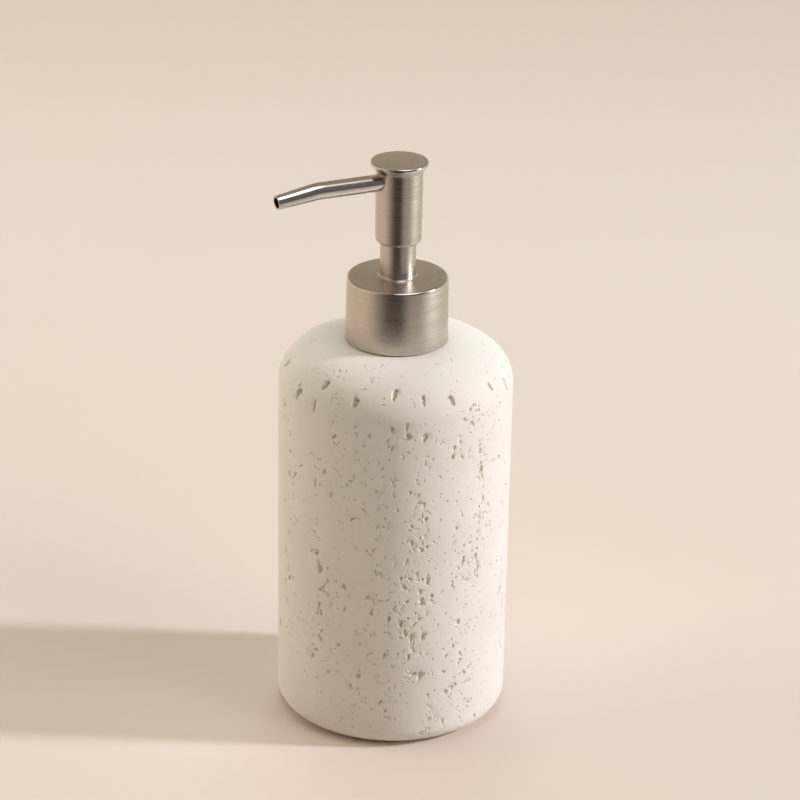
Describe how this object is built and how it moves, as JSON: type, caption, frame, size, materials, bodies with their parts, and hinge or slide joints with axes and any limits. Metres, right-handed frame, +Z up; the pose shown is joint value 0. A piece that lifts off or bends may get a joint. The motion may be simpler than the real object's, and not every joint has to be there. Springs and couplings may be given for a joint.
{
  "type": "soap pump dispenser",
  "caption": "Free-standing cylindrical stone-look bottle with a screw-on, press-down metal pump head and a slim bent spout.",
  "frame": {"origin": "centre of the flat underside of the base pad, on the surface that the bottle stands on", "axes": "+Z up along the bottle's axis; the spout points along -X; +Y completes the right-handed frame"},
  "size_m": [0.0804, 0.075, 0.188],
  "materials": {
    "stone_resin": "matte",
    "satin_steel": "satin",
    "bright_steel": "polished",
    "milky_plastic": "satin",
    "soft_plastic": "satin",
    "seal_rubber": "matte",
    "pad_rubber": "matte"
  },
  "bodies": {
    "bottle": {"bottle_body": "stone_resin", "neck_insert": "milky_plastic", "base_pad": "pad_rubber"},
    "pump": {"pump_housing": "milky_plastic", "closure_gasket": "seal_rubber", "stem_guide": "milky_plastic", "spring_seat": "milky_plastic", "dip_tube": "milky_plastic", "return_spring": "bright_steel"},
    "closure": {"threaded_cap": "milky_plastic", "closure_shell": "satin_steel", "neck_sleeve": "satin_steel"},
    "rod": {"piston_rod": "milky_plastic"},
    "piston": {"piston": "soft_plastic"},
    "inlet_ball": {"inlet_ball": "bright_steel"},
    "head": {"stem": "milky_plastic", "actuator_core": "milky_plastic", "head_barrel": "satin_steel", "head_button": "satin_steel", "spout_tube": "bright_steel", "spout_seal": "seal_rubber"}
  },
  "joints": [
    {"name": "pump_rise", "type": "slide", "parent": "bottle", "child": "pump", "axis": [0, 0, 1], "range_m": [0, 0.0054]},
    {"name": "closure_turn", "type": "hinge", "parent": "pump", "child": "closure", "pos_m": [0, 0, 0.14], "axis": [0, 0, 1], "range_deg": [0, 460]},
    {"name": "pump_stroke", "type": "slide", "parent": "pump", "child": "rod", "axis": [0, 0, -1], "range_m": [0, 0.0105], "stiffness_N_per_m": 900, "springref_m": -0.006, "deforming": ["return_spring"]},
    {"name": "head_swivel", "type": "hinge", "parent": "rod", "child": "head", "pos_m": [0, 0, 0.14], "axis": [0, 0, 1], "continuous": true},
    {"name": "piston_travel", "type": "slide", "parent": "pump", "child": "piston", "axis": [0, 0, -1], "range_m": [0, 0.009]},
    {"name": "ball_lift", "type": "slide", "parent": "pump", "child": "inlet_ball", "axis": [0, 0, 1], "range_m": [0, 0.0012]}
  ],
  "couplings": [
    {"joint": "closure_turn", "follows": "pump_rise", "rad_per_m": 1485.4},
    {"joint": "piston_travel", "follows": "pump_stroke", "ratio": 0.85714}
  ]
}
